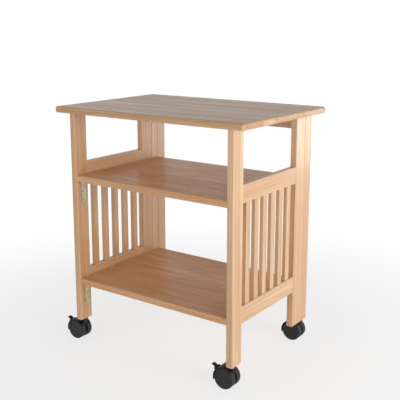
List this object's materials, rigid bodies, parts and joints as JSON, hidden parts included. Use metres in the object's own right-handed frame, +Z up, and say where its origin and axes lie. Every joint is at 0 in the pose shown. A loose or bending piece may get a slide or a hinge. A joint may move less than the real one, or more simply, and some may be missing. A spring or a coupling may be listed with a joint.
{
  "type": "mobile printer stand",
  "caption": "Low wooden trolley with a top board and two shelves between slatted side frames, on twin-wheel swivel casters with brake levers in front.",
  "frame": {"origin": "on the floor under the centre of the top board", "axes": "+Z up, +Y from the open front to the back with the apron, +X to the right-hand side frame"},
  "size_m": [0.6774, 0.458, 0.735],
  "materials": {
    "top_wood": "clear satin lacquer over edge-glued beech",
    "shelf_wood": "clear satin lacquer over edge-glued beech",
    "frame_wood": "clear satin lacquer over beech",
    "dowel_wood": "bare beech",
    "bracket_steel": "yellow-green zinc plate",
    "screw_steel": "zinc plate",
    "socket_steel": "zinc plate",
    "pin_steel": "bright steel",
    "hood_nylon": "fine matt grain",
    "wheel_nylon": "fine matt grain",
    "lever_nylon": "fine matt grain"
  },
  "bodies": {
    "stand": {"apron_dowels": "dowel_wood", "back_apron": "frame_wood", "back_left_socket": "socket_steel", "back_right_socket": "socket_steel", "bracket_screws": "screw_steel", "front_left_socket": "socket_steel", "front_right_socket": "socket_steel", "left_back_leg": "frame_wood", "left_back_post": "frame_wood", "left_front_post": "frame_wood", "left_low_rail": "frame_wood", "left_mid_rail": "frame_wood", "left_slat_1": "frame_wood", "left_slat_2": "frame_wood", "left_slat_3": "frame_wood", "left_slat_4": "frame_wood", "left_slat_5": "frame_wood", "left_spacer": "frame_wood", "low_shelf": "shelf_wood", "low_shelf_brackets": "bracket_steel", "mid_shelf": "shelf_wood", "mid_shelf_brackets": "bracket_steel", "right_back_leg": "frame_wood", "right_back_post": "frame_wood", "right_front_post": "frame_wood", "right_low_rail": "frame_wood", "right_mid_rail": "frame_wood", "right_slat_1": "frame_wood", "right_slat_2": "frame_wood", "right_slat_3": "frame_wood", "right_slat_4": "frame_wood", "right_slat_5": "frame_wood", "right_slat_6": "frame_wood", "seam_dowels": "dowel_wood", "top_board": "top_wood", "top_dowels": "dowel_wood"},
    "front_left_caster": {"front_left_hood": "hood_nylon", "front_left_stem": "pin_steel", "front_left_axle": "pin_steel"},
    "front_left_wheel_front": {"front_left_wheel_front": "wheel_nylon"},
    "front_left_wheel_back": {"front_left_wheel_back": "wheel_nylon"},
    "front_left_lever": {"front_left_lever": "lever_nylon"},
    "front_right_caster": {"front_right_hood": "hood_nylon", "front_right_stem": "pin_steel", "front_right_axle": "pin_steel"},
    "front_right_wheel_front": {"front_right_wheel_front": "wheel_nylon"},
    "front_right_wheel_back": {"front_right_wheel_back": "wheel_nylon"},
    "front_right_lever": {"front_right_lever": "lever_nylon"},
    "back_left_caster": {"back_left_hood": "hood_nylon", "back_left_stem": "pin_steel", "back_left_axle": "pin_steel"},
    "back_left_wheel_front": {"back_left_wheel_front": "wheel_nylon"},
    "back_left_wheel_back": {"back_left_wheel_back": "wheel_nylon"},
    "back_right_caster": {"back_right_hood": "hood_nylon", "back_right_stem": "pin_steel", "back_right_axle": "pin_steel"},
    "back_right_wheel_front": {"back_right_wheel_front": "wheel_nylon"},
    "back_right_wheel_back": {"back_right_wheel_back": "wheel_nylon"}
  },
  "joints": [
    {"name": "front_left_swivel", "type": "hinge", "parent": "stand", "child": "front_left_caster", "pos_m": [-0.279, -0.1845, 0.068], "axis": [0, 0, 1], "continuous": true},
    {"name": "front_left_front_roll", "type": "hinge", "parent": "front_left_caster", "child": "front_left_wheel_front", "pos_m": [-0.299, -0.1845, 0.03], "axis": [0, 1, 0], "continuous": true},
    {"name": "front_left_back_roll", "type": "hinge", "parent": "front_left_caster", "child": "front_left_wheel_back", "pos_m": [-0.299, -0.1845, 0.03], "axis": [0, 1, 0], "continuous": true},
    {"name": "front_left_brake", "type": "hinge", "parent": "front_left_caster", "child": "front_left_lever", "pos_m": [-0.33149, -0.1845, 0.04728], "axis": [0, -1, 0], "range_deg": [0, 22]},
    {"name": "front_right_swivel", "type": "hinge", "parent": "stand", "child": "front_right_caster", "pos_m": [0.279, -0.1845, 0.068], "axis": [0, 0, 1], "continuous": true},
    {"name": "front_right_front_roll", "type": "hinge", "parent": "front_right_caster", "child": "front_right_wheel_front", "pos_m": [0.259, -0.1845, 0.03], "axis": [0, 1, 0], "continuous": true},
    {"name": "front_right_back_roll", "type": "hinge", "parent": "front_right_caster", "child": "front_right_wheel_back", "pos_m": [0.259, -0.1845, 0.03], "axis": [0, 1, 0], "continuous": true},
    {"name": "front_right_brake", "type": "hinge", "parent": "front_right_caster", "child": "front_right_lever", "pos_m": [0.22651, -0.1845, 0.04728], "axis": [0, -1, 0], "range_deg": [0, 22]},
    {"name": "back_left_swivel", "type": "hinge", "parent": "stand", "child": "back_left_caster", "pos_m": [-0.279, 0.1975, 0.068], "axis": [0, 0, 1], "continuous": true},
    {"name": "back_left_front_roll", "type": "hinge", "parent": "back_left_caster", "child": "back_left_wheel_front", "pos_m": [-0.299, 0.1975, 0.03], "axis": [0, 1, 0], "continuous": true},
    {"name": "back_left_back_roll", "type": "hinge", "parent": "back_left_caster", "child": "back_left_wheel_back", "pos_m": [-0.299, 0.1975, 0.03], "axis": [0, 1, 0], "continuous": true},
    {"name": "back_right_swivel", "type": "hinge", "parent": "stand", "child": "back_right_caster", "pos_m": [0.279, 0.1975, 0.068], "axis": [0, 0, 1], "continuous": true},
    {"name": "back_right_front_roll", "type": "hinge", "parent": "back_right_caster", "child": "back_right_wheel_front", "pos_m": [0.259, 0.1975, 0.03], "axis": [0, 1, 0], "continuous": true},
    {"name": "back_right_back_roll", "type": "hinge", "parent": "back_right_caster", "child": "back_right_wheel_back", "pos_m": [0.259, 0.1975, 0.03], "axis": [0, 1, 0], "continuous": true}
  ]
}
